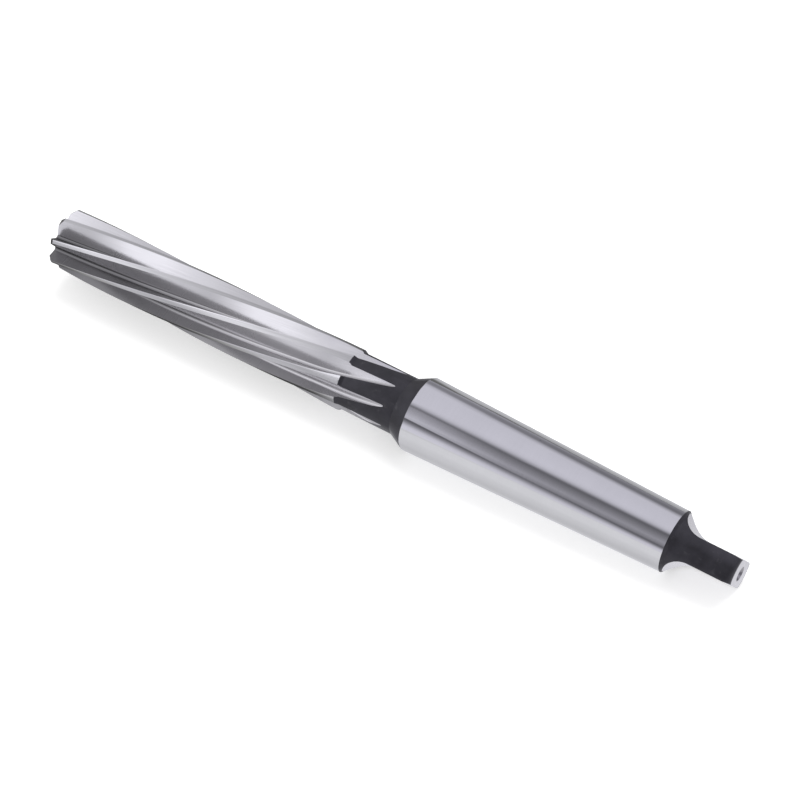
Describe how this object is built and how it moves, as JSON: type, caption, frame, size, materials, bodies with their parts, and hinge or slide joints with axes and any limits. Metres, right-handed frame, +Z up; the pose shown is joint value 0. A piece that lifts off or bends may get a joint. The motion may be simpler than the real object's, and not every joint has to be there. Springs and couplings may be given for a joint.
{
  "type": "machine reamer",
  "caption": "Long-fluted machine reamer with left-hand helical flutes, a dark neck and a Morse taper shank with tang",
  "frame": {"origin": "on the tool's axis at the gauge plane of the Morse taper, 75 mm from the tang end", "axes": "+Z up; the tool lies on its taper, with +X towards the tang and 1.43 degrees down along the axis, so that the taper's lowest line is level"},
  "size_m": [0.1812, 0.0182, 0.019],
  "materials": {
    "tool_steel": "ground bright on the shank, lands and flutes, with a black oxide neck, cone and tang edges"
  },
  "bodies": {
    "root": {"reamer": "tool_steel"}
  },
  "joints": []
}
